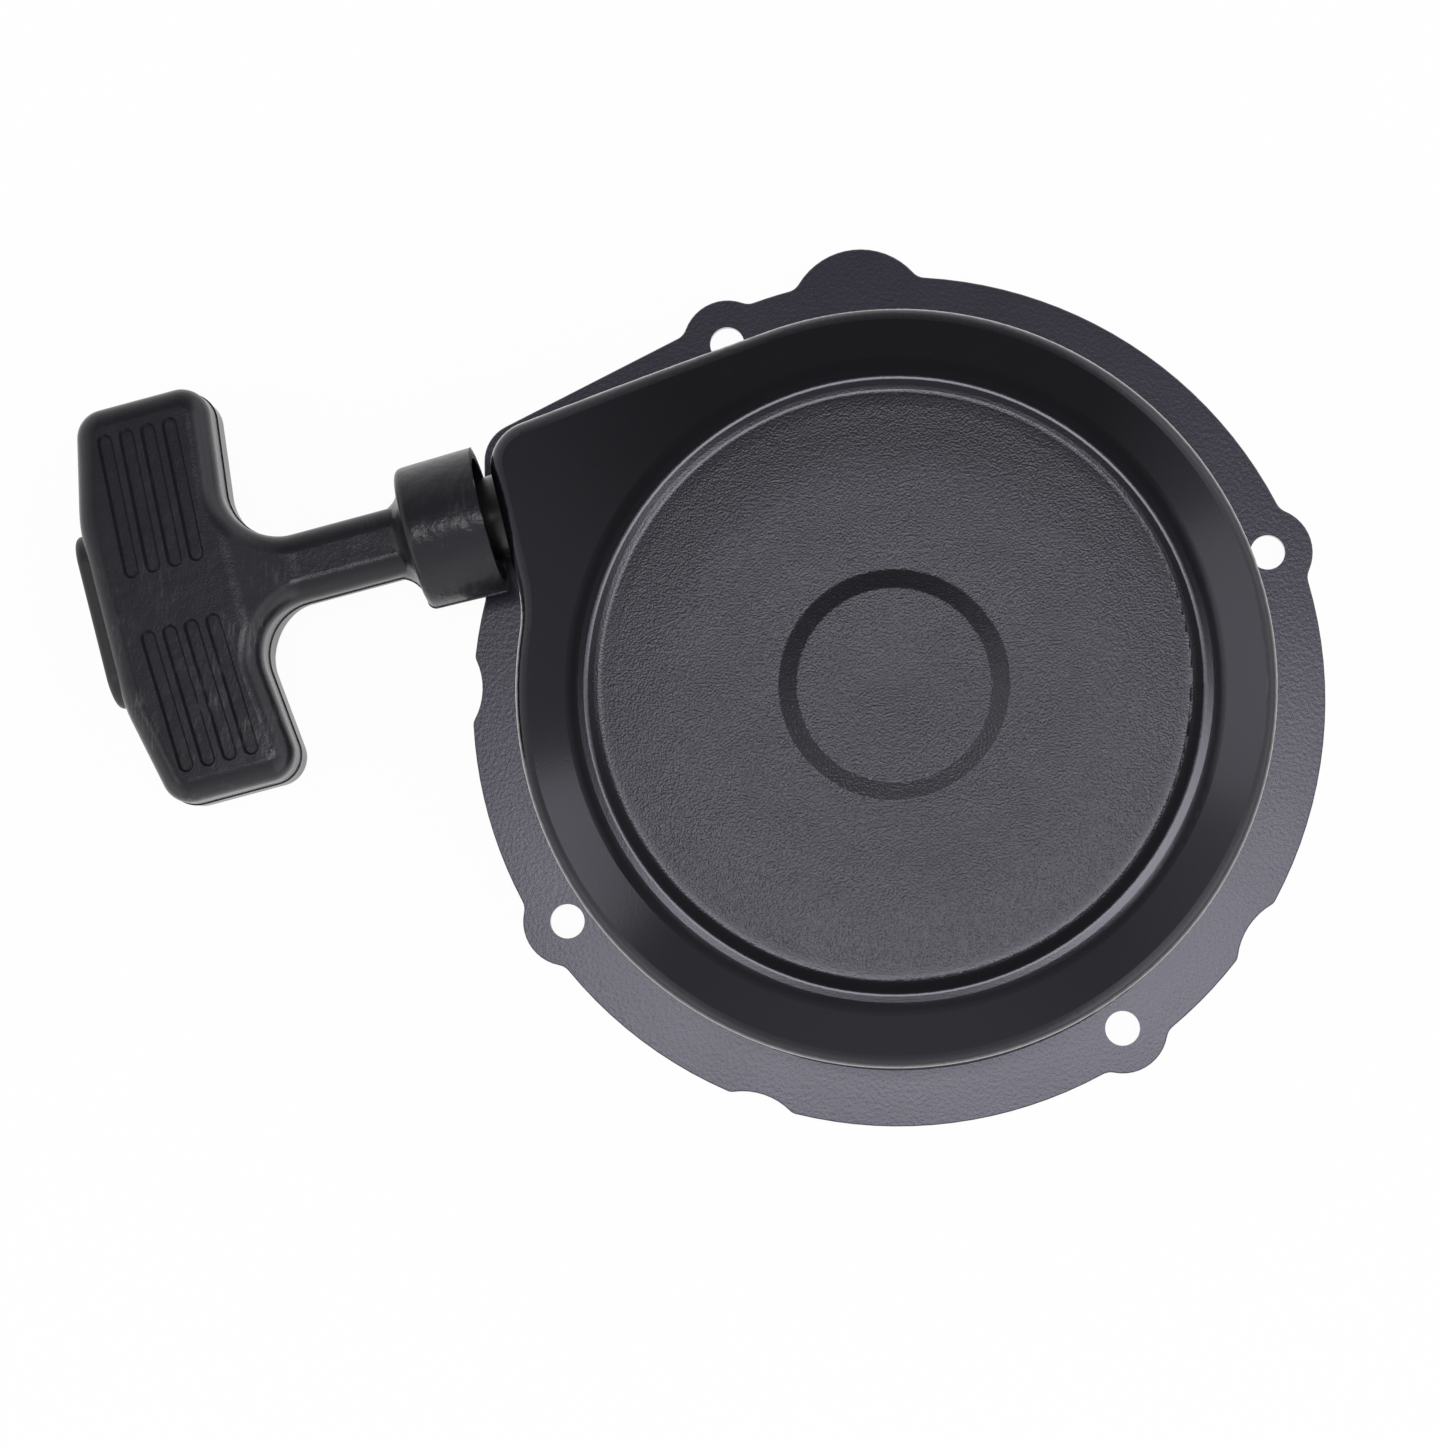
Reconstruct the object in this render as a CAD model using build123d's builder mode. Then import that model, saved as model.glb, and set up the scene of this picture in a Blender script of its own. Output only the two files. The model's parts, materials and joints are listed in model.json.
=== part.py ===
from build123d import *
import math
import os

# Recoil (pull) starter for a small engine, in millimetres.
# Frame: origin on the crank axis in the plane of the mounting flange's underside,
# +Z towards the crown, the rope leaving towards -X. Pulling turns the reel about +Z.

# ---- case: one steel pressing -------------------------------------------------
sheet = 1.5                      # sheet thickness
cup_r = 76.4                     # outside of the round wall
crown_corner_r = 3.5             # rounding of the crown's outer edge
root_r = 1.0                     # outer bend between wall and flange
rim_width = 12.6                 # flange beyond the wall
hole_out = 6.6                   # bolt holes beyond the wall
bolt_hole_r = 3.6
bolt_angles = (21.6, 115.5, 214.1, 304.4)
lug_r = 9.35
lobe_r = 15.0                    # round lobe without a hole
lobe_out = 3.9                   # its centre beyond the wall
lobe_angle = 95.6
notches = ((178.7, 14.0), (251.6, 14.0), (327.0, 14.5))   # angle and radius
notch_depth = 2.0
edge_blend_r = 3.5               # hollow corners of the flange's outline
edge_round_r = 2.5               # outer corners of the flange's outline
edge_break = 0.25                # on the flange's upper edge

# pressed rings of the crown
boss_r = 19.4
boss_height = 0.65
boss_slope = 3.7                 # width of the boss's sloping side
boss_dish = 0.35
boss_top_r = 1.5                 # rounding of the boss's upper corner
boss_foot_r = 2.0
disc_dish = 0.6                  # the disc sinks this far towards the boss
disc_flat_r = 46.0               # and is flat outside this
disc_flat_rounding = 250.0
bead_r = 61.6                    # crest between the disc and the outer ring
bead_height = 0.63               # crest above the disc, before it is rounded
bead_rise_width = 2.7
bead_crest_r = 3.0
bead_foot_r = 3.0                # hollow between the disc and the crest
shoulder_width = 3.0             # from the crest to where the outer ring falls away
shoulder_fall = 0.16
shoulder_r = 14.0
reel_to_crown = 3.0              # room between the reel and the flat of the disc
crown_fall = 14.0                # slope of the outer ring, degrees

# ---- rope line and outlet -----------------------------------------------------
rope_r = 2.25
rope_angle = 14.85               # the rope leaves this far below -X
rope_offset = 56.0               # crank axis to rope line
rope_z = 17.6
outlet_short = 8.2               # the outlet's end wall is this far short of the round wall
outlet_tangent_angle = 109.3     # where the outlet's long wall leaves the round wall
outlet_corner_r = 9.0
outlet_blend_r = 28.0
ear_margins = (1.7, 4.5)         # flange beyond the outlet's corner, along the rope and across
ear_corner_r = 8.0
ear_angles = (120.5, 166.3)      # where that part of the flange meets the round rim

# ---- reel and rope turns ------------------------------------------------------
rope_layers = 3
reel_lip = 4.5                   # reel flange beyond the outer rope turn
groove_side = 0.6                # room beside the rope in its groove
reel_flange = 2.2
rib_count = 8
rib_width = 2.0
rib_height = 0.9
reel_wall = 4.0                  # wall between rope groove and spring
web = 5.9                        # web under the spring
pin_floor = 1.5                  # web left above the pawl pins
rib_inset = 1.0                  # the ribs stop this far inside the reel's rim
hub_drop = 0.8                   # the hub stands this far below the web
spring_room = 1.0                # beside and under the coiled spring
cover_room = 0.8                 # between the spring and its cover
spring_tab = 2.4                 # how far the spring's ends reach into the post and the reel
spring_height = 10.5
spring_thickness = 0.7
spring_turns = 9
cover_thickness = 0.8
post_r = 8.0
post_head_r = 15.5
post_head = 2.4
bushing_wall = 2.0
hub_wall = 4.0

# ---- pawls and guide plate ----------------------------------------------------
pawl_thickness = 4.0
pawl_pin_r = 2.5
pin_chamfer = 0.4
pawl_circle_r = 22.0             # crank axis to pawl pins
pawl_length = 15.0
pawl_tip_r = 2.4
pawl_eye_r = 5.0
pawl_rest_angle = 97.0           # the resting pawl's direction from its pin, degrees
pawl_swing = 35.0
guide_lag = 30.0                 # how far the guide plate lags behind the reel
peg_r = 1.6
peg_eye_r = 2.6
peg_reach = 5.8                  # pawl pin to peg
peg_angle = 149.0                # the peg's direction from the pin at rest
guide_thickness = 1.5
guide_rim = 3.5                  # guide plate beyond its windows
pawl_wire_r = 0.4
pawl_wire_leg = 7.0
washer_thickness = 1.0
washer_r = 13.0
bolt_shoulder_r = 5.5
bolt_thread_r = 4.0
bolt_flange_r = 9.0
bolt_flange = 1.0
bolt_head = 2.0
bolt_head_width = 12.0
bolt_chamfer = 0.5
bolt_short = 1.0                 # the thread ends this far short of its hole
bolt_depth = 12.0                # thread inside the post
friction_wire_r = 0.6
friction_coil_r = 8.2
friction_turns = 1.5

# ---- rope guide ---------------------------------------------------------------
guide_collar_r = 8.8
guide_front_r = 8.2
guide_edge_r = 1.2
guide_collar = 6.0
guide_neck_r = 6.6
guide_lip = 2.0
guide_lip_r = 7.4
guide_mouth_r = 2.0              # rounding of its bore

# ---- handle, measured from the mouth of its boot ------------------------------
boot_gap = 3.4                   # outlet wall to boot
boot_mouth_r = 15.2
boot_back_r = 14.8
boot_length = 16.3
boot_wall = 2.2
boot_depth = 12.5
boot_corner_r = 1.5
boot_inner_r = 2.5
flare_r = 6.2
flare_sunk = 0.8                 # the flare's thin end lies inside the stem
stem_width = 14.2
bar_start = 52.6                 # finger side of the T bar at the stem
bar_finger_sweep = 3.8           # the finger side leans towards the case at its ends
bar_palm = 81.4
bar_palm_sweep = 5.0
bar_palm_flat = 38.0             # straight middle of the palm side
bar_palm_r = 30.0                # rounding between it and its sloping ends
bar_length = 83.2
bar_thickness = 21.0
bar_end_r = 6.0
bar_neck_r = 11.0                # between stem and bar
bar_edge_r = 4.5
neck_length = 11.0               # stem thickness grows to the bar's along this
neck_hollow_r = 14.0
neck_shoulder_r = 9.0
ridge_rows = 4
ridge_pitch = 4.57
ridge_first = 58.8
ridge_from = 5.5                 # grip channels start and end this far from the middle
ridge_to = 35.7
ridge_sweep = 1.3
ridge_width = 3.2
ridge_depth = 0.9
ridge_taper = 30.0               # slope of the channels' sides, degrees
parting_proud = 0.25             # moulding line round the handle
parting_width = 0.5
cap_length = 37.0
cap_width = 13.0
cap_proud = 2.4
cap_inset = 1.6
cap_chamfer = 1.2
cap_gap = 0.1
knot_r = 4.4
knot_seat = 0.8                  # a knot's centre from its seat, in knot radii
knot_pocket_r = 5.4
knot_from_palm = 9.0             # knot's centre under the palm side
rope_washer = 1.2
rope_washer_r = 5.1

# ---- fits ---------------------------------------------------------------------
running_gap = 0.05
loose_gap = 0.3
cord_gap = 0.4

# ---- places worked out from the above -----------------------------------------
outlet_reach = cup_r - outlet_short
groove_low = rope_z - rope_r - groove_side
groove_high = rope_z + rope_r + groove_side
winding_r = rope_offset
layer_pitch = 2 * rope_r - 0.1
groove_base = winding_r - (rope_layers - 1) * layer_pitch - rope_r
reel_r = winding_r + rope_r + reel_lip
cavity_r = groove_base - reel_wall
web_low = groove_low - reel_flange - rib_height
web_high = web_low + web
spring_low = web_high + spring_room
spring_high = spring_low + spring_height
cover_low = spring_high + cover_room
reel_top = cover_low + cover_thickness
disc_z = reel_top + reel_to_crown + sheet
boss_z = disc_z - disc_dish + boss_height
hub_r = post_r + running_gap + bushing_wall
hub_low = web_low - hub_drop
post_end = hub_low - loose_gap
washer_low = post_end - washer_thickness
pawl_high = web_low - 2 * pawl_wire_r - 2 * loose_gap
pawl_low = pawl_high - pawl_thickness
guide_high = pawl_low - loose_gap
guide_low = guide_high - guide_thickness
bolt_flange_top = guide_low - loose_gap
bolt_flange_low = bolt_flange_top - bolt_flange
mouth_s = outlet_reach + boot_gap

ALONG = Vector(-math.cos(math.radians(rope_angle)), -math.sin(math.radians(rope_angle)), 0)
ACROSS = Vector(-math.sin(math.radians(rope_angle)), math.cos(math.radians(rope_angle)), 0)
ROPE_FOOT = ACROSS * rope_offset + Vector(0, 0, rope_z)


def polar(radius, angle):
    """A plan point at that radius and angle in degrees."""
    return (radius * math.cos(math.radians(angle)), radius * math.sin(math.radians(angle)))


def at_rope(along, across=0.0):
    """A plan point given along the rope line and beside it."""
    point = ALONG * along + ACROSS * (rope_offset + across)
    return (point.X, point.Y)


def rope_plane(along):
    """A plane square to the rope, its x across the rope and its y up."""
    return Plane(ROPE_FOOT + ALONG * along, x_dir=-ACROSS, z_dir=ALONG)


def rope_side_plane(along):
    """The level plane through the rope, its x along the rope."""
    return Plane(ROPE_FOOT + ALONG * along, x_dir=ALONG, z_dir=(0, 0, 1))


def round_corner(sketch, corner, radius):
    """Rounds the sketch's corner nearest to a point."""
    fillet(sketch.vertices().sort_by_distance((corner[0], corner[1], 0))[0], radius=radius)


def finish(builder, name):
    """Labels a finished piece and writes it."""
    builder.part.label = name
    export_step(builder.part, "parts/" + name + ".step")


os.makedirs("parts", exist_ok=True)


# ---- housing ------------------------------------------------------------------
def outlet_corner():
    """Where the outlet's long wall meets its end wall."""
    normal = Vector(*polar(1.0, outlet_tangent_angle))
    beside = (cup_r - outlet_reach * normal.dot(ALONG)) / normal.dot(ACROSS)
    return (outlet_reach, beside - rope_offset)


def outlet_crossing():
    """Where the end wall meets the round wall."""
    return (outlet_reach, math.sqrt(cup_r**2 - outlet_reach**2) - rope_offset)


def cup_plan():
    """Plan of the wall: the round cup with its rope outlet."""
    corner = at_rope(*outlet_corner())
    crossing = at_rope(*outlet_crossing())
    with BuildSketch() as plan:
        Circle(cup_r)
        with BuildLine():
            Polyline((0, 0), polar(cup_r, outlet_tangent_angle), corner, crossing, (0, 0))
        make_face()
        round_corner(plan, corner, outlet_corner_r)
        round_corner(plan, crossing, outlet_blend_r)
    return plan.sketch


def crown_section(drop):
    """Half section under the crown, lowered by drop, out past the outlet."""
    top = disc_z - drop
    sunk = top - disc_dish
    shoulder = (bead_r + shoulder_width, top + bead_height - shoulder_fall)
    far_r = 1.5 * cup_r
    far_z = shoulder[1] - (far_r - shoulder[0]) * math.tan(math.radians(crown_fall))
    corners = (
        ((boss_r, sunk + boss_height), boss_top_r),
        ((boss_r + boss_slope, sunk), boss_foot_r),
        ((disc_flat_r, top), disc_flat_rounding),
        ((bead_r - bead_rise_width, top), bead_foot_r),
        ((bead_r, top + bead_height), bead_crest_r),
        (shoulder, shoulder_r),
    )
    with BuildSketch(Plane.XZ) as section:
        with BuildLine():
            Polyline(
                (0, 0),
                (0, sunk + boss_height - boss_dish),
                *[corner for corner, radius in corners],
                (far_r, far_z),
                (far_r, 0),
                (0, 0),
            )
        make_face()
        for corner, radius in corners:
            round_corner(section, corner, radius)
    return section.sketch


def is_crown_edge(edge):
    """True on the edges between the crown's outer ring and the walls."""
    middle = edge @ 0.5
    level = abs((edge % 0.5).Z) < 0.9
    return level and middle.Z > rope_z and math.hypot(middle.X, middle.Y) > cup_r - 2 * sheet


def flange_plan():
    """Plan of the mounting flange."""
    rim_r = cup_r + rim_width
    reach, beside = outlet_corner()
    ear = at_rope(reach + ear_margins[0], beside + ear_margins[1])
    with BuildSketch() as plan:
        Circle(rim_r)
        with BuildLine():
            Polyline((0, 0), polar(rim_r, ear_angles[0]), ear, polar(rim_r, ear_angles[1]), (0, 0))
        make_face()
        round_corner(plan, ear, ear_corner_r)
        for angle in bolt_angles:
            with Locations(polar(cup_r + hole_out, angle)):
                Circle(lug_r)
        with Locations(polar(cup_r + lobe_out, lobe_angle)):
            Circle(lobe_r)
        for angle, radius in notches:
            with Locations(polar(rim_r + radius - notch_depth, angle)):
                Circle(radius, mode=Mode.SUBTRACT)
        offset(amount=edge_blend_r)
        offset(amount=-edge_blend_r - edge_round_r)
        offset(amount=edge_round_r)
    return plan.sketch


with BuildPart() as cavity:
    with BuildSketch():
        add(cup_plan())
        offset(amount=-sheet)
    extrude(amount=2 * disc_z)
    add(crown_section(sheet))
    revolve(axis=Axis.Z, mode=Mode.INTERSECT)
    fillet(cavity.edges().filter_by(is_crown_edge), radius=crown_corner_r - sheet)

with BuildPart() as starter_housing:
    with BuildSketch():
        add(flange_plan())
    extrude(amount=sheet)
    chamfer(starter_housing.edges().group_by(Axis.Z)[-1], length=edge_break)
    with BuildSketch():
        add(cup_plan())
    extrude(amount=2 * disc_z)
    add(crown_section(0))
    revolve(axis=Axis.Z, mode=Mode.INTERSECT)
    fillet(starter_housing.edges().filter_by(is_crown_edge), radius=crown_corner_r)
    at_root = starter_housing.edges().filter_by_position(Axis.Z, sheet - 0.01, sheet + 0.01)
    fillet(at_root.filter_by(Edge.is_interior), radius=root_r)
    add(cavity.part, mode=Mode.SUBTRACT)
    underside = starter_housing.faces().sort_by(Axis.Z)[0]
    fillet(underside.inner_wires()[0].edges(), radius=root_r + sheet)
    with Locations([polar(cup_r + hole_out, angle) for angle in bolt_angles]):
        Hole(bolt_hole_r)
    with BuildSketch(rope_plane(outlet_reach)):
        Circle(guide_neck_r + running_gap)
    extrude(amount=-2 * sheet, mode=Mode.SUBTRACT)

finish(starter_housing, "starter_housing")


# ---- post and bolt ------------------------------------------------------------
def boss_under(radius):
    """Height of the crown's inner face under the raised centre."""
    return boss_z - sheet - boss_dish * (1 - radius / boss_r)


with BuildPart() as center_post:
    with BuildSketch(Plane.XZ):
        with BuildLine():
            head_low = boss_z - sheet - post_head
            Polyline(
                (0, post_end),
                (post_r, post_end),
                (post_r, head_low),
                (post_head_r, head_low),
                (post_head_r, boss_under(post_head_r)),
                (0, boss_under(0)),
                (0, post_end),
            )
        make_face()
    revolve(axis=Axis.Z)
    with Locations((0, 0, post_end)):
        Cylinder(
            bolt_thread_r,
            bolt_depth,
            align=(Align.CENTER, Align.CENTER, Align.MIN),
            mode=Mode.SUBTRACT,
        )
    with Locations((bolt_thread_r, 0, spring_low - loose_gap)):
        Box(
            post_r,
            spring_thickness + 2 * loose_gap,
            spring_height + 2 * loose_gap,
            align=(Align.MIN, Align.CENTER, Align.MIN),
            mode=Mode.SUBTRACT,
        )

finish(center_post, "center_post")

with BuildPart() as thrust_washer:
    with BuildSketch(Plane.XY.offset(washer_low)):
        Circle(washer_r)
        Circle(bolt_thread_r, mode=Mode.SUBTRACT)
    extrude(amount=washer_thickness)

finish(thrust_washer, "thrust_washer")

with BuildPart() as center_bolt:
    with BuildSketch(Plane.XY.offset(bolt_flange_low - bolt_head)):
        RegularPolygon(bolt_head_width / 2, 6, major_radius=False)
    extrude(amount=bolt_head)
    chamfer(center_bolt.faces().sort_by(Axis.Z)[0].edges(), length=bolt_chamfer)
    with BuildSketch(Plane.XY.offset(bolt_flange_low)):
        Circle(bolt_flange_r)
    extrude(amount=bolt_flange)
    with BuildSketch(Plane.XY.offset(bolt_flange_top)):
        Circle(bolt_shoulder_r)
    extrude(amount=washer_low - bolt_flange_top)
    with BuildSketch(Plane.XY.offset(washer_low)):
        Circle(bolt_thread_r)
    extrude(amount=washer_thickness + bolt_depth - bolt_short)

finish(center_bolt, "center_bolt")


# ---- reel ---------------------------------------------------------------------
knot_place = (groove_base + 2 * rope_r, 0)

with BuildPart() as reel:
    with BuildSketch(Plane.XZ):
        with BuildLine():
            Polyline(
                (hub_r, hub_low),
                (hub_r + hub_wall, hub_low),
                (hub_r + hub_wall, web_low),
                (groove_base, web_low),
                (groove_base, groove_low - reel_flange),
                (reel_r, groove_low - reel_flange),
                (reel_r, groove_low),
                (groove_base, groove_low),
                (groove_base, groove_high),
                (reel_r, groove_high),
                (reel_r, groove_high + reel_flange),
                (groove_base, groove_high + reel_flange),
                (groove_base, reel_top),
                (cavity_r + reel_wall / 2, reel_top),
                (cavity_r + reel_wall / 2, cover_low),
                (cavity_r, cover_low),
                (cavity_r, web_high),
                (hub_r, web_high),
                (hub_r, hub_low),
            )
        make_face()
    revolve(axis=Axis.Z)
    with BuildSketch(Plane.XY.offset(web_low)):
        with PolarLocations((groove_base + reel_r) / 2 - rib_inset, rib_count, start_angle=180 / rib_count):
            Rectangle(reel_r - groove_base - rib_inset, rib_width)
    extrude(amount=groove_low - reel_flange - web_low)
    for lip_z in (groove_low, groove_high):
        lip = reel.edges().filter_by(GeomType.CIRCLE).filter_by(lambda e: abs(e.radius - reel_r) < 0.01)
        fillet(lip.sort_by(lambda e: abs(e.center().Z - lip_z))[0], radius=reel_flange / 3)
    with BuildSketch(Plane.XY.offset(web_low)):
        with Locations([polar(pawl_circle_r, angle) for angle in (0, 180)]):
            Circle(pawl_pin_r)
    extrude(amount=web - pin_floor, mode=Mode.SUBTRACT)
    with BuildSketch(Plane.XY.offset(groove_low - reel_flange)):
        with Locations(knot_place):
            Circle(rope_r)
    extrude(amount=reel_flange, mode=Mode.SUBTRACT)
    with BuildSketch(Plane.XY.offset(spring_low)):
        with Locations((cavity_r, 0)):
            Rectangle(reel_wall, spring_thickness + 2 * loose_gap)
    extrude(amount=cover_low - spring_low, mode=Mode.SUBTRACT)

finish(reel, "reel")

with BuildPart() as reel_bushing:
    with BuildSketch(Plane.XY.offset(hub_low)):
        Circle(hub_r)
        Circle(post_r + running_gap, mode=Mode.SUBTRACT)
    extrude(amount=web_high - hub_low)

finish(reel_bushing, "reel_bushing")

with BuildPart() as spring_cover:
    with BuildSketch(Plane.XY.offset(cover_low)):
        Circle(cavity_r + reel_wall / 2)
        Circle(post_head_r, mode=Mode.SUBTRACT)
    extrude(amount=cover_thickness)

finish(spring_cover, "spring_cover")


def spiral_side(side):
    """One side of the spring strip, as half turns about two centres."""
    first_r = post_r + spring_room
    pitch = (cavity_r - spring_room - first_r) / spring_turns
    radius = first_r + pitch / 4 + side * spring_thickness / 2
    for half in range(2 * spring_turns):
        start = 0 if half % 2 == 0 else 180
        centre = -pitch / 4 if half % 2 == 0 else pitch / 4
        CenterArc((centre, 0), radius + half * pitch / 2, start, 180)


with BuildPart() as spiral_spring:
    with BuildSketch(Plane.XY.offset(spring_low)):
        with BuildLine() as strip:
            spiral_side(-1)
            spiral_side(1)
            inner = strip.edges().sort_by(Edge.length)[:2]
            outer = strip.edges().sort_by(Edge.length)[-2:]
            Line(inner[0] @ 0, inner[1] @ 0)
            Line(outer[0] @ 1, outer[1] @ 1)
        make_face()
        for tab_r in (post_r + spring_room - spring_tab / 2, cavity_r - spring_room + spring_tab / 2):
            with Locations((tab_r, 0)):
                Rectangle(spring_tab, spring_thickness)
    extrude(amount=spring_height)

finish(spiral_spring, "spiral_spring")

with BuildPart() as rope_winding:
    with BuildSketch(Plane.XZ):
        for layer in range(rope_layers):
            with Locations((winding_r - layer * layer_pitch, rope_z)):
                Circle(rope_r)
    revolve(axis=Axis.Z)
    with BuildSketch(Plane.XY.offset(rope_z)):
        with Locations(knot_place):
            Circle(rope_r)
    extrude(amount=groove_low - reel_flange - rope_z)

finish(rope_winding, "rope_winding")

with BuildPart() as rope_reel_knot:
    with Locations((knot_place[0], knot_place[1], groove_low - reel_flange - knot_r * knot_seat)):
        Sphere(knot_r)
    split(bisect_by=Plane.XY.offset(groove_low - reel_flange), keep=Keep.BOTTOM)

finish(rope_reel_knot, "rope_reel_knot")


# ---- pawls and guide plate ----------------------------------------------------
def peg_point(lag):
    """The right pawl's peg as the guide plate sees it when it lags by that angle."""
    swing = pawl_swing * lag / guide_lag
    eye = Vector(pawl_circle_r, 0)
    peg = eye + Vector(*polar(peg_reach, peg_angle - swing))
    return peg.rotate(Axis.Z, lag)


def pawl_outline(angle):
    """Plan of a pawl on a pin at the origin."""
    tip = polar(pawl_length - pawl_tip_r, angle)
    peg = polar(peg_reach, peg_angle - pawl_rest_angle + angle)
    with BuildSketch() as outline:
        with BuildSketch() as arm:
            Circle(pawl_eye_r)
            with Locations(tip):
                Circle(pawl_tip_r)
            make_hull()
        with BuildSketch() as ear:
            Circle(pawl_eye_r)
            with Locations(peg):
                Circle(peg_eye_r)
            make_hull()
        Circle(pawl_pin_r + running_gap, mode=Mode.SUBTRACT)
    return outline.sketch


for name, turn in (("right", 0), ("left", 180)):
    pin_x, pin_y = polar(pawl_circle_r, turn)
    peg = peg_point(0).rotate(Axis.Z, turn)

    with BuildPart() as pawl:
        with BuildSketch(Plane.XY.offset(pawl_low)):
            with Locations(Location((pin_x, pin_y), turn)):
                add(pawl_outline(pawl_rest_angle))
        extrude(amount=pawl_thickness)
        with BuildSketch(Plane.XY.offset(pawl_low)):
            with Locations((peg.X, peg.Y)):
                Circle(peg_r)
        extrude(amount=guide_low - pawl_low)
    finish(pawl, "pawl_" + name)

    with BuildPart() as pawl_pin:
        with BuildSketch(Plane.XY.offset(pawl_low)):
            with Locations((pin_x, pin_y)):
                Circle(pawl_pin_r)
        extrude(amount=web_low + web - pin_floor - pawl_low)
        chamfer(pawl_pin.edges().group_by(Axis.Z)[0], length=pin_chamfer)
    finish(pawl_pin, "pawl_pin_" + name)

    with BuildPart() as pawl_spring:
        ring_r = pawl_pin_r + loose_gap + pawl_wire_r
        spring_plane = Plane((pin_x, pin_y, pawl_high + loose_gap / 2 + pawl_wire_r)).rotated((0, 0, turn))
        with BuildLine(spring_plane) as wire:
            coil = CenterArc((0, 0), ring_r, 200, -290)
            leg = Line(coil @ 1, coil @ 1 + (coil % 1) * pawl_wire_leg)
        with BuildSketch(Plane(coil @ 0, z_dir=coil % 0)):
            Circle(pawl_wire_r)
        sweep(path=wire.wires()[0])
    finish(pawl_spring, "pawl_spring_" + name)

with BuildPart() as guide_plate:
    window_r = peg_r + loose_gap
    steps = [peg_point(guide_lag * step / 4) for step in range(5)]
    plate_r = max(step.length for step in steps) + window_r + guide_rim
    with BuildSketch(Plane.XY.offset(guide_low)):
        Circle(plate_r)
        Circle(bolt_shoulder_r + running_gap, mode=Mode.SUBTRACT)
        for turn in (0, 180):
            for before, after in zip(steps, steps[1:]):
                with BuildSketch(mode=Mode.PRIVATE) as window:
                    for point in (before.rotate(Axis.Z, turn), after.rotate(Axis.Z, turn)):
                        with Locations((point.X, point.Y)):
                            Circle(window_r)
                    make_hull()
                add(window.sketch, mode=Mode.SUBTRACT)
    extrude(amount=guide_thickness)

finish(guide_plate, "guide_plate")

with BuildPart() as friction_spring:
    coil_height = washer_low - guide_high - 2 * (friction_wire_r + running_gap)
    with BuildLine(Plane.XY.offset(guide_high + friction_wire_r + running_gap)) as coil_path:
        Helix(pitch=coil_height / friction_turns, height=coil_height, radius=friction_coil_r)
    with BuildSketch(Plane(coil_path.edges()[0] @ 0, z_dir=coil_path.edges()[0] % 0)):
        Circle(friction_wire_r)
    sweep(path=coil_path.edges()[0])

finish(friction_spring, "friction_spring")


# ---- rope guide ---------------------------------------------------------------
with BuildPart() as rope_guide:
    bore_r = rope_r + cord_gap
    mouth_r = bore_r + guide_mouth_r
    front = guide_collar
    back = -sheet - guide_lip
    with BuildSketch(rope_side_plane(outlet_reach)):
        with BuildLine():
            Polyline(
                (back, mouth_r),
                (back, guide_lip_r),
                (-sheet, guide_lip_r),
                (-sheet, guide_neck_r),
                (0, guide_neck_r),
                (0, guide_collar_r),
                (front, guide_front_r),
                (front, mouth_r),
            )
            RadiusArc((front, mouth_r), (front - guide_mouth_r, bore_r), guide_mouth_r)
            Line((front - guide_mouth_r, bore_r), (back + guide_mouth_r, bore_r))
            RadiusArc((back + guide_mouth_r, bore_r), (back, mouth_r), guide_mouth_r)
        make_face()
    revolve(axis=Axis(ROPE_FOOT, ALONG))
    rings = rope_guide.edges().filter_by(GeomType.CIRCLE)
    fillet(rings.filter_by(lambda e: abs(e.radius - guide_front_r) < 0.01), radius=guide_edge_r)

finish(rope_guide, "rope_guide")


# ---- handle -------------------------------------------------------------------
MOUTH = rope_side_plane(mouth_s)


def bar_plan():
    """Plan of the stem and the T bar, as half outlines mirrored on the rope line."""
    half = bar_length / 2
    stem = stem_width / 2
    corners = (
        ((bar_start, stem), bar_neck_r),
        ((bar_start - bar_finger_sweep, half), bar_end_r),
        ((bar_palm - bar_palm_sweep, half), bar_end_r),
        ((bar_palm, bar_palm_flat / 2), bar_palm_r),
    )
    with BuildSketch() as plan:
        with BuildLine():
            Polyline(
                (boot_depth + boot_wall, 0),
                (boot_depth + boot_wall, stem),
                *[corner for corner, radius in corners],
                (bar_palm, 0),
                (boot_depth + boot_wall, 0),
            )
        make_face()
        for corner, radius in corners:
            round_corner(plan, corner, radius)
        mirror(about=Plane.XZ)
    return plan.sketch


def bar_side():
    """Side view of the stem and the T bar: the thickness along the handle."""
    neck_end = bar_start - loose_gap
    corners = (
        ((neck_end - neck_length, stem_width / 2), neck_hollow_r),
        ((neck_end, bar_thickness / 2), neck_shoulder_r),
    )
    with BuildSketch() as side:
        with BuildLine():
            Polyline(
                (0, 0),
                (0, stem_width / 2),
                *[corner for corner, radius in corners],
                (2 * bar_palm, bar_thickness / 2),
                (2 * bar_palm, 0),
                (0, 0),
            )
        make_face()
        for corner, radius in corners:
            round_corner(side, corner, radius)
        mirror(about=Plane.XZ)
    return side.sketch


def boot_section():
    """Half section of the bell-shaped boot and its flare."""
    stem = stem_width / 2
    with BuildSketch() as section:
        with BuildLine():
            Polyline(
                (0, 0),
                (0, boot_mouth_r),
                (boot_length, boot_back_r),
                (boot_length, stem),
                (boot_length + 2 * flare_r, stem - flare_sunk),
                (boot_length + 2 * flare_r, 0),
                (0, 0),
            )
        make_face()
        round_corner(section, (boot_length, boot_back_r), boot_corner_r)
        round_corner(section, (boot_length, stem), flare_r)
    return section.sketch


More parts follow.
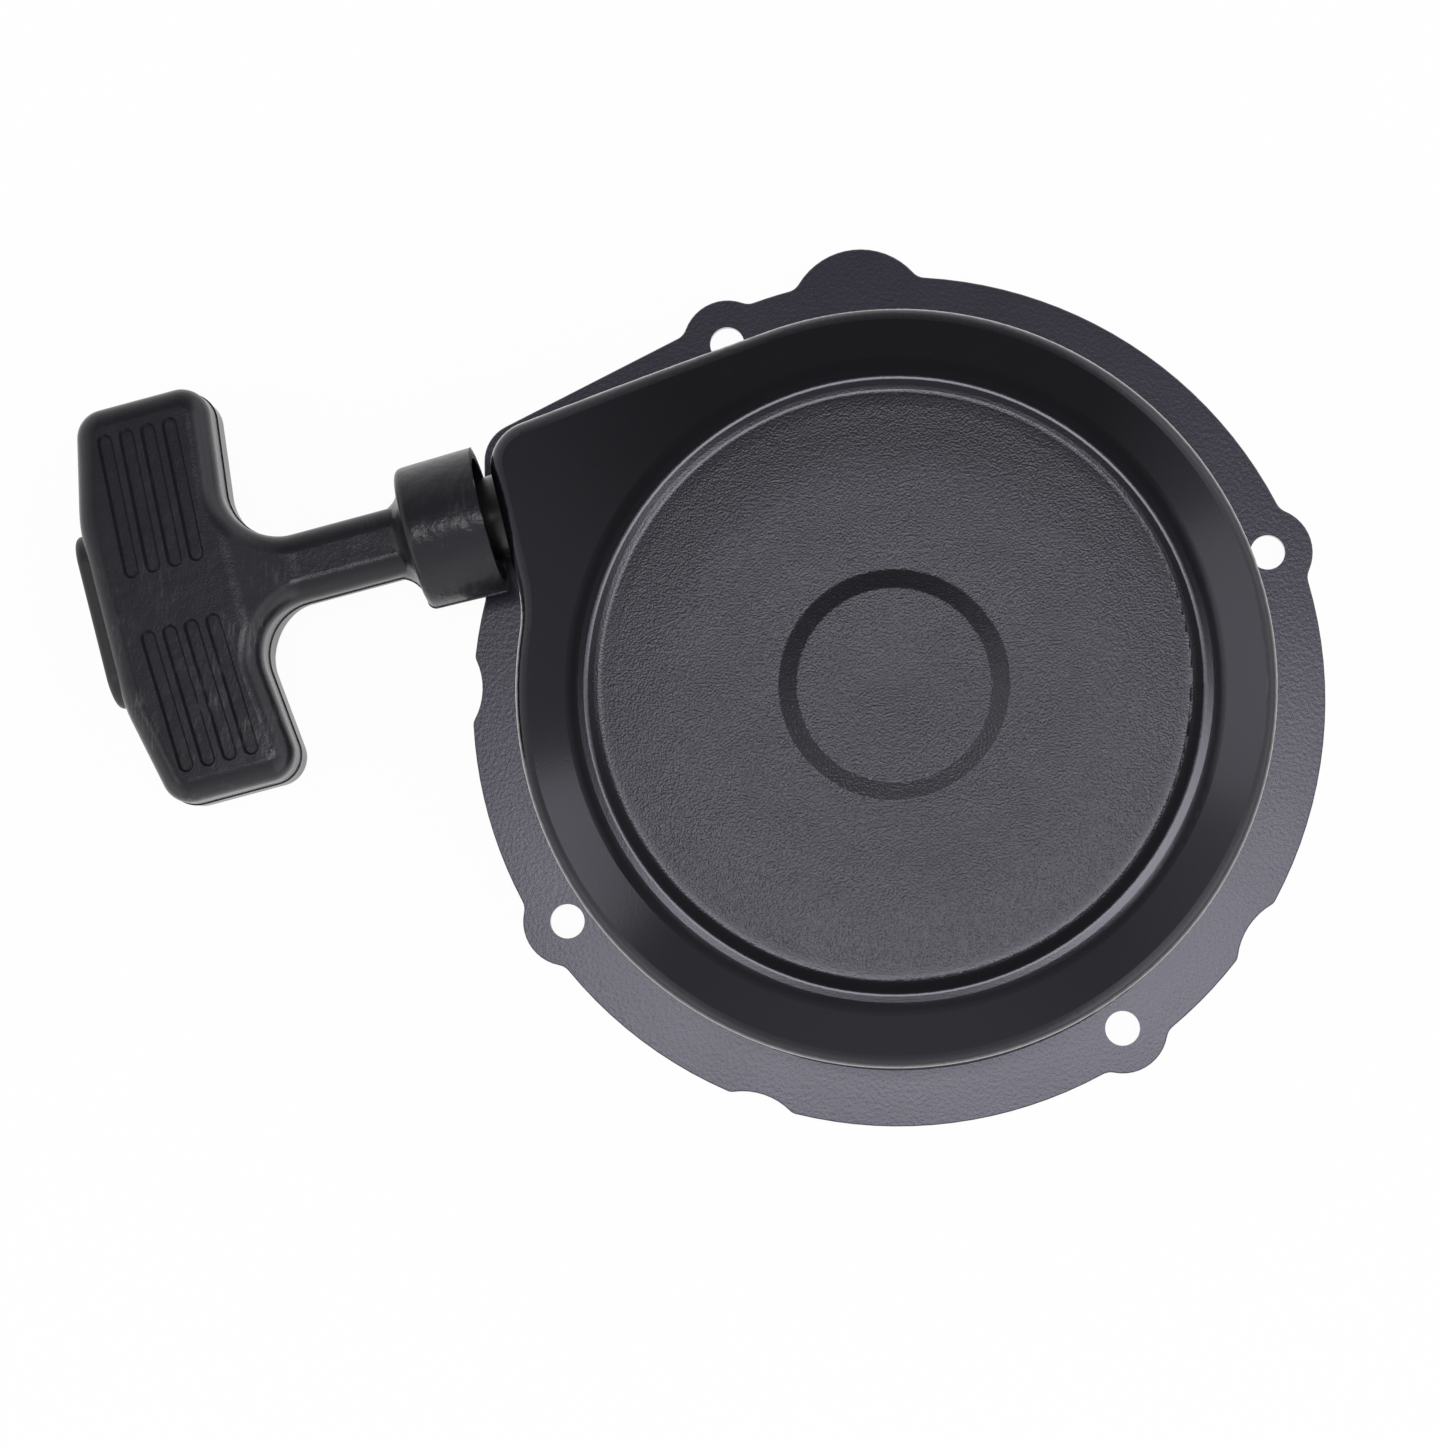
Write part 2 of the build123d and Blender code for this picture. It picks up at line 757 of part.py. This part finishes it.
def ridge_rows_at(face_z):
    """Sunken grip channels on one face of the bar."""
    middle = (ridge_from + ridge_to) / 2
    span = math.hypot(ridge_to - ridge_from, ridge_sweep)
    lean = math.degrees(math.atan2(ridge_sweep, ridge_to - ridge_from))
    with BuildSketch(MOUTH.offset(face_z)) as rows:
        for side in (1, -1):
            for row in range(ridge_rows):
                along = ridge_first + row * ridge_pitch - ridge_sweep / 2
                with Locations(Location((along, side * middle), side * (90 + lean))):
                    SlotCenterToCenter(span - ridge_width, ridge_width)
    return rows.sketch


def bar_edges(solid):
    """The bar's and the stem's long edges, between their sides and their two faces."""
    start = solid.faces().sort_by(Axis(MOUTH.origin, ALONG))[0]
    sides = solid.faces().filter_by(lambda f: abs(f.normal_at().Z) < 0.01 and f != start)
    caps = solid.faces().filter_by(lambda f: abs(f.normal_at().Z) > 0.01)
    return sides.edges() & caps.edges()


def boot_hollow():
    """Half section of the space inside the boot."""
    inner_back = (boot_depth, boot_back_r - boot_wall)
    with BuildSketch() as section:
        with BuildLine():
            Polyline((0, 0), (0, boot_mouth_r - boot_wall), inner_back, (boot_depth, 0), (0, 0))
        make_face()
        round_corner(section, inner_back, boot_inner_r)
    return section.sketch


knot_s = mouth_s + bar_palm - knot_from_palm
washer_s = knot_s - knot_r

with BuildPart() as handle_grip:
    with BuildSketch(MOUTH):
        add(bar_plan())
    extrude(amount=bar_thickness, both=True)
    with BuildSketch(Plane(MOUTH.origin, x_dir=MOUTH.x_dir, z_dir=-MOUTH.y_dir)):
        add(bar_side())
    extrude(amount=bar_length, both=True, mode=Mode.INTERSECT)
    fillet(bar_edges(handle_grip), radius=bar_edge_r)
    with BuildSketch(MOUTH):
        add(boot_section())
    revolve(axis=Axis(MOUTH.origin, ALONG))
    with BuildSketch(MOUTH):
        add(bar_plan())
        add(boot_section())
        mirror(about=Plane.XZ)
        offset(amount=parting_proud)
        Rectangle(boot_depth, 4 * boot_mouth_r, align=(Align.MAX, Align.CENTER), mode=Mode.SUBTRACT)
    extrude(amount=parting_width / 2, both=True)
    with BuildSketch(MOUTH):
        add(boot_hollow())
    revolve(axis=Axis(MOUTH.origin, ALONG), mode=Mode.SUBTRACT)
    add(ridge_rows_at(bar_thickness / 2))
    extrude(amount=-ridge_depth, taper=ridge_taper, mode=Mode.SUBTRACT)
    add(ridge_rows_at(-bar_thickness / 2))
    extrude(amount=ridge_depth, taper=ridge_taper, mode=Mode.SUBTRACT)
    with BuildSketch(rope_plane(mouth_s + bar_palm + parting_proud)):
        SlotOverall(cap_length, cap_width)
    extrude(amount=-cap_inset - parting_proud, mode=Mode.SUBTRACT)
    with BuildSketch(rope_plane(mouth_s + bar_palm)):
        Circle(knot_pocket_r)
    extrude(amount=washer_s - rope_washer - mouth_s - bar_palm, mode=Mode.SUBTRACT)
    with BuildSketch(rope_plane(mouth_s)):
        Circle(rope_r + cord_gap)
    extrude(amount=bar_palm, mode=Mode.SUBTRACT)

finish(handle_grip, "handle_grip")

with BuildPart() as handle_cap:
    with BuildSketch(rope_plane(mouth_s + bar_palm - cap_inset)):
        SlotOverall(cap_length - 2 * cap_gap, cap_width - 2 * cap_gap)
    extrude(amount=cap_inset + cap_proud)
    outer = handle_cap.faces().sort_by(Axis(MOUTH.origin, ALONG))[-1]
    fillet(outer.edges(), radius=cap_chamfer)

finish(handle_cap, "handle_cap")


# ---- rope between the reel and the handle -------------------------------------
run_start = math.sqrt((winding_r + 2 * rope_r + 2 * loose_gap) ** 2 - winding_r**2)
run_end = mouth_s + boot_depth

with BuildPart() as rope_run:
    with BuildSketch(rope_plane(run_start)):
        Circle(rope_r)
    extrude(amount=run_end - run_start)

finish(rope_run, "rope_run")

with BuildPart() as rope_handle_end:
    with BuildSketch(rope_plane(run_end)):
        Circle(rope_r)
    extrude(amount=washer_s - run_end)

finish(rope_handle_end, "rope_handle_end")

with BuildPart() as rope_washer_plate:
    with BuildSketch(rope_plane(washer_s)):
        Circle(rope_washer_r)
        Circle(rope_r, mode=Mode.SUBTRACT)
    extrude(amount=-rope_washer)

finish(rope_washer_plate, "rope_washer")

with BuildPart() as rope_handle_knot:
    with BuildSketch(rope_side_plane(washer_s)):
        with Locations((knot_seat * knot_r, 0)):
            Circle(knot_r)
        Rectangle(3 * knot_r, 3 * knot_r, align=(Align.MIN, Align.MIN), mode=Mode.INTERSECT)
    revolve(axis=Axis(ROPE_FOOT, ALONG))

finish(rope_handle_knot, "rope_handle_knot")
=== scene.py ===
import json
import math

import bmesh
import bpy
from mathutils import Matrix, Vector


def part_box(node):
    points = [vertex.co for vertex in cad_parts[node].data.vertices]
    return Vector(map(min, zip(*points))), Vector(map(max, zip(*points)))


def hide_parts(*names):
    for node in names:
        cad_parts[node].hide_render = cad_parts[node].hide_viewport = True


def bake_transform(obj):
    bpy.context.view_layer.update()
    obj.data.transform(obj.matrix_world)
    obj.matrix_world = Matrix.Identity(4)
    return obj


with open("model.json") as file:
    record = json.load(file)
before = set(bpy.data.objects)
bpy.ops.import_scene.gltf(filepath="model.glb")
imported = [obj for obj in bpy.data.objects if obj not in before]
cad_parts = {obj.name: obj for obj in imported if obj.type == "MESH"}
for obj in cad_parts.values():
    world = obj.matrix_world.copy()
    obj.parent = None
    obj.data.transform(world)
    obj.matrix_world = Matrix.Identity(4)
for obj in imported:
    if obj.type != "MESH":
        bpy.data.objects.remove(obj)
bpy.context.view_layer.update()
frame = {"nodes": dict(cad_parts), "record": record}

MM = 0.001

# ---- places worked out from the frame ----------------------------------------
JOINTS = {joint["name"]: joint for joint in frame["record"]["behaviour"]["joints"]}
ALONG = Vector(JOINTS["handle_pull"]["axis"])       # the way the rope is pulled
UP = Vector((0, 0, 1))
ACROSS = UP.cross(ALONG) * -1
ROPE = Vector(JOINTS["handle_swivel"]["pos_m"])     # a point on the rope's line, in the handle

# ---- places on the surfaces, in mm -------------------------------------------
GRAIN_END = (56.0, 60.0)       # radii over which the crown's grain and painted pit shade fade out, and its painted glints thin out, towards the bead
DULL_END = (57.5, 60.0)        # and over which its dull finish does
FLANGE_END = (2.0, 4.4)        # heights over which the flange's painted light, grain and dull finish fade out, up the case's wall
BOOT_START = (38.0, 44.0)      # from ROPE towards the case, where the boot's creases fade in
SCUFF_START = (-12.0, 20.0)    # from ROPE towards the bar's front end, over which the scuffs come in
WINDING_R = 52.0               # middle of the rope's turns on the reel
BRAID_PITCH = 5.0
BRAID_STRANDS = 4

# ---- tones, as a dark and a light one for each cloudy surface ------------------
CASE_TONES = (0.0032, 0.0031, 0.0040), (0.0052, 0.0050, 0.0066)
# painted light: the flange's tones are far lighter than the crown's, for the light its flat face gives back
FLANGE_LIT_TONES = (0.020, 0.0185, 0.028), (0.032, 0.030, 0.044)
# painted glints: pale specks that stand in for the glints off the paint's grain
PAINTED_GLINT_TONE = (0.09, 0.09, 0.10)
# painted shade: darker dots that stand in for the shade in small pit hollows
PIT_SHADE_TONE = (0.003, 0.003, 0.004)
RUBBER_TONES = (0.0040, 0.0038, 0.0055), (0.0080, 0.0076, 0.0105)
SCUFF_TONE = (0.13, 0.13, 0.14)
# the dark rope tone is partly painted shade, in the grooves between the strands
ROPE_TONES = (0.30, 0.29, 0.26), (0.72, 0.70, 0.64)

# ---- stage, light and camera ---------------------------------------------------
FLOOR_SIZE = 6.0
FLOOR_DROP = 0.2               # mm below the flange's face, so that the two faces don't coincide
FLOOR_TONE = (0.86, 0.86, 0.86, 1)
FLOOR_WHITE = 0.96             # share of plain white in the floor's look; the rest is its lit surface
ROOM_LIGHT = (
    # axis of the direction looked in, where on it the light changes from and to, and its two levels
    ("Z", 0.95, 0.10, 0.13, 0.65),       # dim overhead, between the lamps, and lighter at the horizon
    ("Y", -0.15, -0.55, 0.0, 0.55),      # more light towards the front
    ("X", 0.30, 0.60, 0.0, 0.85),        # and on the right
    ("X", -0.35, -0.62, 0.0, 0.40),      # and some on the left
)
LAMPS = (
    # name, place, point looked at, width and depth, radiance
    ("overhead", (0.03, -0.03, 1.5), (0.03, -0.03, 0), (0.66, 0.30), 8.0),
    ("right", (1.05, 0.25, 1.3), (0, 0, 0), (0.8, 0.7), 0.9),
    ("left", (-1.0, -0.36, 1.3), (0, 0, 0), (0.5, 0.45), 2.0),
)
CAMERA_PLACE = (10.3, -61.5, 712.1)      # mm
CAMERA_TARGET = (-23.4, -26.9, 0)        # mm
CAMERA_UP = (-0.003, 1, 0)
CAMERA_SHIFT = (-0.043, 0.073)
LENS, SENSOR = 85, 36


# ---- node helpers ------------------------------------------------------------
class Nodes:
    """A node tree, built by short calls."""

    def __init__(self, tree):
        self.tree = tree

    def node(self, kind, **settings):
        made = self.tree.nodes.new(kind)
        for key, value in settings.items():
            setattr(made, key, value)
        return made

    def put(self, socket, value):
        """Links a socket to another, or sets its value."""
        if isinstance(value, bpy.types.NodeSocket):
            self.tree.links.new(value, socket)
        else:
            socket.default_value = value

    def math(self, operation, a, b=0.0, clamp=False):
        made = self.node("ShaderNodeMath", operation=operation, use_clamp=clamp)
        self.put(made.inputs[0], a)
        self.put(made.inputs[1], b)
        return made.outputs[0]

    def between(self, value, start, end, low, high, interpolation="LINEAR"):
        """Goes from one level to another as a value goes from start to end, and stays there."""
        made = self.node("ShaderNodeMapRange", interpolation_type=interpolation)
        self.put(made.inputs["Value"], value)
        for socket, level in zip(("From Min", "From Max", "To Min", "To Max"), (start, end, low, high)):
            made.inputs[socket].default_value = level
        return made.outputs["Result"]

    def split(self, vector):
        """The X, Y and Z of a vector."""
        made = self.node("ShaderNodeSeparateXYZ")
        self.put(made.inputs[0], vector)
        return made.outputs


class Shader(Nodes):
    """A material on the Principled shader, with its patterns in the object's own coordinates."""

    def __init__(self, name, **principled):
        self.material = bpy.data.materials.new(name)
        self.material.use_nodes = True
        super().__init__(self.material.node_tree)
        self.bsdf = self.tree.nodes["Principled BSDF"]
        self.set(**principled)
        self.place = self.node("ShaderNodeTexCoord").outputs["Object"]

    def set(self, **principled):
        """Links or sets sockets of the Principled shader, with _ for each space in their names."""
        for socket, value in principled.items():
            self.put(self.bsdf.inputs[socket.replace("_", " ")], value)

    def noise(self, size, detail=4.0, rough=0.5, stretch=(1, 1, 1)):
        """Noise with features of about that size in mm."""
        mapping = self.node("ShaderNodeMapping")
        self.put(mapping.inputs["Vector"], self.place)
        mapping.inputs["Scale"].default_value = [s / (size * MM) for s in stretch]
        made = self.node("ShaderNodeTexNoise")
        self.put(made.inputs["Vector"], mapping.outputs[0])
        made.inputs["Scale"].default_value = 1.0
        made.inputs["Detail"].default_value = detail
        made.inputs["Roughness"].default_value = rough
        return made.outputs["Fac"]

    def spots(self, size):
        """Distance from scattered points about that many mm apart, as a share of it."""
        made = self.node("ShaderNodeTexVoronoi")
        self.put(made.inputs["Vector"], self.place)
        made.inputs["Scale"].default_value = 1.0 / (size * MM)
        return made.outputs["Distance"]

    def mix(self, factor, a, b):
        """Mixes two colours, each a tuple or a socket."""
        made = self.node("ShaderNodeMix", data_type="RGBA")
        self.put(made.inputs["Factor"], factor)
        for socket, value in ((made.inputs["A"], a), (made.inputs["B"], b)):
            self.put(socket, (*value, 1) if isinstance(value, tuple) else value)
        return made.outputs["Result"]

    def masked(self, pattern, mask, least=0.0):
        """A pattern at full strength on a mask, and at its least off it."""
        return self.math("MULTIPLY", pattern, self.between(mask, 0.0, 1.0, least, 1.0))

    def scaled(self, pattern, amount, base):
        """A base value, raised by an amount of a pattern."""
        return self.math("ADD", self.math("MULTIPLY", pattern, amount), base)

    def bump(self, height, depth, base=None):
        """Bump of that depth in mm, over another bump if one is given."""
        made = self.node("ShaderNodeBump")
        made.inputs["Distance"].default_value = depth * MM
        self.put(made.inputs["Height"], height)
        if base is not None:
            self.put(made.inputs["Normal"], base)
        return made.outputs["Normal"]

    def radius(self):
        """Distance from the crank axis, in mm."""
        x, y, _ = self.split(self.place)
        square = self.math("ADD", self.math("POWER", x, 2), self.math("POWER", y, 2))
        return self.math("MULTIPLY", self.math("SQRT", square), 1 / MM)

    def along(self, direction, origin=(0, 0, 0)):
        """Distance from a point along a direction, in mm."""
        shift = self.node("ShaderNodeVectorMath", operation="SUBTRACT")
        self.put(shift.inputs[0], self.place)
        shift.inputs[1].default_value = origin
        made = self.node("ShaderNodeVectorMath", operation="DOT_PRODUCT")
        self.put(made.inputs[0], shift.outputs[0])
        made.inputs[1].default_value = direction
        return self.math("MULTIPLY", made.outputs["Value"], 1 / MM)

    def level(self):
        """How level the surface lies: 1 on a flat face, 0 on a wall."""
        normal = self.node("ShaderNodeNewGeometry").outputs["Normal"]
        return self.math("ABSOLUTE", self.split(normal)[2])


# ---- materials ---------------------------------------------------------------
def case_paint():
    """Satin black paint over pressed steel: grainy on the crown, smooth on its ring, glossy on the walls.
    The flange is painted lighter for the light it gives back, and the crown has pale painted glints and dark
    dots of painted shade.
    """
    s = Shader("case_paint", Specular_IOR_Level=0.55, Specular_Tint=(0.90, 0.87, 1.0, 1),
               Coat_Roughness=0.08, Coat_IOR=1.9)
    radius = s.radius()
    on_crown = s.between(radius, *GRAIN_END, 1.0, 0.0)
    on_flange = s.between(s.along(UP), *FLANGE_END, 1.0, 0.0)

    clouds = s.noise(30, detail=3.0)
    # painted light: the flange takes lighter tones than the crown
    tone = s.mix(on_flange, s.mix(clouds, *CASE_TONES), s.mix(s.noise(12), *FLANGE_LIT_TONES))
    # painted glints: pale specks, strongest on the crown
    painted_glints = s.between(s.noise(0.45, detail=1.0), 0.72, 0.78, 0.0, 1.0)
    tone = s.mix(s.math("MULTIPLY", painted_glints, s.scaled(on_crown, 0.25, 0.1)), tone, PAINTED_GLINT_TONE)
    # painted shade: darker dots on the crown for the shade in pit hollows
    painted_pit_shade = s.masked(s.between(s.spots(9.0), 0.025, 0.04, 1.0, 0.0), on_crown)

    dull = s.math("ADD", s.between(radius, *DULL_END, 0.13, 0.0), s.math("MULTIPLY", on_flange, 0.08))
    waves = s.masked(s.noise(18, detail=1.0), on_crown, least=0.07)
    peel = s.masked(s.noise(0.42, detail=1.0), on_crown, least=0.07)
    grain = s.masked(s.noise(0.8, detail=3.0), on_flange, least=0.1)
    s.set(Base_Color=s.mix(painted_pit_shade, tone, PIT_SHADE_TONE),
          Roughness=s.math("ADD", dull, s.scaled(clouds, 0.04, 0.14)),
          Normal=s.bump(grain, 0.03, s.bump(peel, 0.075, s.bump(waves, 0.10))),
          Coat_Weight=s.between(s.level(), 0.35, 0.65, 1.0, 0.0))
    return s.material


def grip_rubber():
    """Hard black rubber, polished by use, with pale scuffs on the bar and creases on the boot."""
    s = Shader("grip_rubber", Specular_IOR_Level=0.25, Specular_Tint=(0.90, 0.86, 1.0, 1),
               Coat_Weight=0.6, Coat_Roughness=0.22, Coat_IOR=1.4)
    clouds = s.noise(18)
    smear = s.noise(1.3, detail=6.0, rough=0.7, stretch=(1.8, 0.3, 1))
    scratches = s.between(smear, 0.50, 0.66, 0.0, 1.0)
    patches = s.between(s.noise(11, detail=3.0), 0.50, 0.60, 0.0, 1.0)
    front_end = s.between(s.along(ACROSS * -1, ROPE), *SCUFF_START, 0.15, 1.0)
    scuffs = s.math("MULTIPLY", s.math("MULTIPLY", scratches, s.math("MULTIPLY", patches, front_end)), 0.40)

    on_boot = s.between(s.along(ALONG * -1, ROPE), *BOOT_START, 0.0, 1.0)
    creases = s.masked(s.noise(3.0, detail=3.0, stretch=(1, 1, 0.4)), on_boot)
    surface = s.bump(s.noise(0.5), 0.03, s.bump(s.noise(5, detail=3.0), 0.10, s.bump(creases, 0.20)))
    s.set(Base_Color=s.mix(scuffs, s.mix(clouds, *RUBBER_TONES), SCUFF_TONE),
          Roughness=s.scaled(clouds, 0.16, 0.32),
          Normal=surface,
          Coat_Normal=surface)
    return s.material


def shades(colour, *factors):
    """A colour times each factor."""
    return [tuple(factor * c for c in colour) for factor in factors]


def moulded(name, colour, roughness, grain=0.02):
    """Moulded plastic with a fine grain and a slight change of tone."""
    s = Shader(name, Specular_IOR_Level=0.5)
    clouds = s.noise(9, detail=3.0)
    s.set(Base_Color=s.mix(clouds, *shades(colour, 0.8, 1.25)),
          Roughness=s.scaled(clouds, 0.12, roughness - 0.06),
          Normal=s.bump(s.noise(0.5, detail=3.0), grain))
    return s.material


def turned(name, colour, roughness, lines=0.4):
    """Turned or rolled metal: fine rings about the crank axis and a few dull patches."""
    s = Shader(name, Metallic=1.0)
    clouds = s.noise(7)
    rings = s.math("SINE", s.math("MULTIPLY", s.radius(), 2 * math.pi / lines))
    s.set(Base_Color=s.mix(clouds, *shades(colour, 0.72, 1.0)),
          Roughness=s.scaled(clouds, 0.2, roughness - 0.1),
          Normal=s.bump(rings, 0.004, s.bump(s.noise(1.2), 0.02)))
    return s.material


def braid(name, straight):
    """Braided nylon: crossing strands about the rope's line, or about the reel's turns, with painted shade
    in the grooves between the strands.
    """
    s = Shader(name, Roughness=0.75, Specular_IOR_Level=0.3, Sheen_Weight=0.3, Sheen_Roughness=0.5)
    height = s.along(UP, ROPE)
    if straight:
        length = s.along(ALONG, ROPE)
        turn = s.math("ARCTAN2", height, s.along(ACROSS, ROPE))
    else:
        x, y, _ = s.split(s.place)
        length = s.math("MULTIPLY", s.math("ARCTAN2", y, x), WINDING_R)
        turn = s.math("ARCTAN2", height, s.math("SUBTRACT", s.radius(), WINDING_R))
    around = s.math("MULTIPLY", turn, BRAID_STRANDS)
    pitch = s.math("MULTIPLY", length, 2 * math.pi / BRAID_PITCH)
    left = s.math("SINE", s.math("ADD", around, pitch))
    right = s.math("SINE", s.math("SUBTRACT", around, pitch))
    weave = s.math("MAXIMUM", left, right)
    fibre = s.noise(0.5)
    # painted shade in the grooves between the strands, plus random fibre tone
    shade = s.math("ADD", s.math("MULTIPLY", weave, 0.35), s.math("MULTIPLY", fibre, 0.5), clamp=True)
    s.set(Base_Color=s.mix(shade, *ROPE_TONES),
          Normal=s.bump(fibre, 0.05, s.bump(weave, 0.35)))
    return s.material


def dress_nodes():
    """Gives every CAD node its material, and returns the materials by slot."""
    finishes = {
        "case_paint": case_paint(),
        "bare_steel": turned("bare_steel", (0.56, 0.56, 0.57), 0.34),
        "zinc_steel": turned("zinc_steel", (0.68, 0.68, 0.65), 0.30, lines=0.8),
        "spring_steel": turned("spring_steel", (0.22, 0.24, 0.29), 0.32),
        "pawl_steel": turned("pawl_steel", (0.24, 0.23, 0.22), 0.45),
        "bushing_metal": turned("bushing_metal", (0.60, 0.44, 0.21), 0.42),
        "reel_plastic": moulded("reel_plastic", (0.045, 0.046, 0.05), 0.5, grain=0.04),
        "guide_plastic": moulded("guide_plastic", (0.010, 0.010, 0.011), 0.22, grain=0.004),
        "cap_plastic": moulded("cap_plastic", (0.014, 0.014, 0.015), 0.42),
        "grip_rubber": grip_rubber(),
        "rope": braid("rope_line", straight=True),
    }
    winding = braid("rope_on_reel", straight=False)
    slots = {part["node"]: part["material_slot"] for part in frame["record"]["subparts"]}
    for name, node in frame["nodes"].items():
        on_reel = name in ("rope_winding", "rope_reel_knot")
        node.data.materials.clear()
        node.data.materials.append(winding if on_reel else finishes[slots[name]])
    return finishes


# ---- the rope that pays out ----------------------------------------------------
def rope_line(finish, sides=24, rings=60):
    """The rope from the reel to the handle, which pays out as the handle is pulled, made here as a straight
    tube in the rope_run node's place.
    """
    low, high = (Vector(corner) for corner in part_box("rope_run"))
    middle = (low + high) / 2
    diameter = high.z - low.z
    half = (Vector((high.x - low.x, high.y - low.y, 0)).length - diameter) / 2
    start, end = -half, half
    spokes = []
    for side in range(sides):
        angle = 2 * math.pi * side / sides
        spokes.append((ACROSS * math.cos(angle) + UP * math.sin(angle)) * diameter / 2)

    mesh = bmesh.new()
    loops = []
    for ring in range(rings + 1):
        centre = middle + ALONG * (start + (end - start) * ring / rings)
        loops.append([mesh.verts.new(centre + spoke) for spoke in spokes])
    for before, after in zip(loops, loops[1:]):
        for side in range(sides):
            following = (side + 1) % sides
            corners = before[side], before[following], after[following], after[side]
            mesh.faces.new(corners).smooth = True
    mesh.faces.new(loops[0][::-1])
    mesh.faces.new(loops[-1])
    bmesh.ops.recalc_face_normals(mesh, faces=mesh.faces)
    data = bpy.data.meshes.new("rope_pay_out")
    mesh.to_mesh(data)

    data.materials.append(finish)
    rope = bpy.data.objects.new("rope_pay_out", data)
    bpy.context.scene.collection.objects.link(rope)
    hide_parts("rope_run")
    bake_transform(rope)


# ---- stage, light and camera ---------------------------------------------------
def stage():
    """A white floor with a faint shadow, which the camera and reflections see as nearly plain white."""
    bpy.ops.mesh.primitive_plane_add(size=FLOOR_SIZE, location=(0, 0, -FLOOR_DROP * MM))
    floor = bpy.context.object
    floor.name = "floor"
    s = Shader("floor_white", Base_Color=FLOOR_TONE, Roughness=0.9, Specular_IOR_Level=0.1)
    glow = s.node("ShaderNodeEmission")
    glow.inputs["Strength"].default_value = 1.0
    rays = s.node("ShaderNodeLightPath").outputs
    seen = s.math("MAXIMUM", rays["Is Camera Ray"], rays["Is Glossy Ray"])
    seen = s.math("MAXIMUM", seen, rays["Is Transmission Ray"])
    mixed = s.node("ShaderNodeMixShader")
    s.put(mixed.inputs[0], s.math("MULTIPLY", seen, FLOOR_WHITE))
    s.put(mixed.inputs[1], s.bsdf.outputs[0])
    s.put(mixed.inputs[2], glow.outputs[0])
    s.put(s.tree.nodes["Material Output"].inputs["Surface"], mixed.outputs[0])
    floor.data.materials.append(s.material)


def world_light():
    """A room that is dim overhead and lighter at the front and the sides, and white to the camera."""
    world = bpy.data.worlds.new("studio")
    bpy.context.scene.world = world
    world.use_nodes = True
    nodes = Nodes(world.node_tree)
    direction = nodes.split(nodes.node("ShaderNodeTexCoord").outputs["Generated"])
    total = 0.0
    for axis, start, end, low, high in ROOM_LIGHT:
        part = nodes.between(direction[axis], start, end, low, high, interpolation="SMOOTHSTEP")
        total = nodes.math("ADD", part, total)
    strength = nodes.node("ShaderNodeMix")
    nodes.put(strength.inputs["Factor"], nodes.node("ShaderNodeLightPath").outputs["Is Camera Ray"])
    nodes.put(strength.inputs["A"], total)
    nodes.put(strength.inputs["B"], 1.0)
    background = world.node_tree.nodes["Background"]
    nodes.put(background.inputs["Color"], (1, 1, 1, 1))
    nodes.put(background.inputs["Strength"], strength.outputs["Result"])


def area_light(name, place, target, size, radiance):
    """A soft light of that width and depth, looking at a point, that the camera doesn't see."""
    data = bpy.data.lights.new(name, "AREA")
    data.shape = "RECTANGLE"
    data.size, data.size_y = size
    data.energy = radiance * math.pi * size[0] * size[1]
    light = bpy.data.objects.new(name, data)
    light.visible_camera = False
    light.location = place
    light.rotation_euler = (Vector(target) - Vector(place)).to_track_quat("-Z", "Y").to_euler()
    bpy.context.scene.collection.objects.link(light)


def camera():
    """A camera over the crown, almost straight above it and a little towards the front right."""
    place = Vector(CAMERA_PLACE) * MM
    forward = (Vector(CAMERA_TARGET) * MM - place).normalized()
    right = forward.cross(Vector(CAMERA_UP)).normalized()
    turned_to = Matrix((right, right.cross(forward), -forward)).transposed().to_4x4()
    turned_to.translation = place
    data = bpy.data.cameras.new("camera")
    data.lens = LENS
    data.sensor_width = SENSOR
    data.shift_x, data.shift_y = CAMERA_SHIFT
    made = bpy.data.objects.new("camera", data)
    bpy.context.scene.collection.objects.link(made)
    made.matrix_world = turned_to
    bpy.context.scene.camera = made


camera()
stage()
world_light()
for lamp in LAMPS:
    area_light(*lamp)
rope_line(dress_nodes()["rope"])

bpy.context.scene.view_settings.view_transform = "Standard"
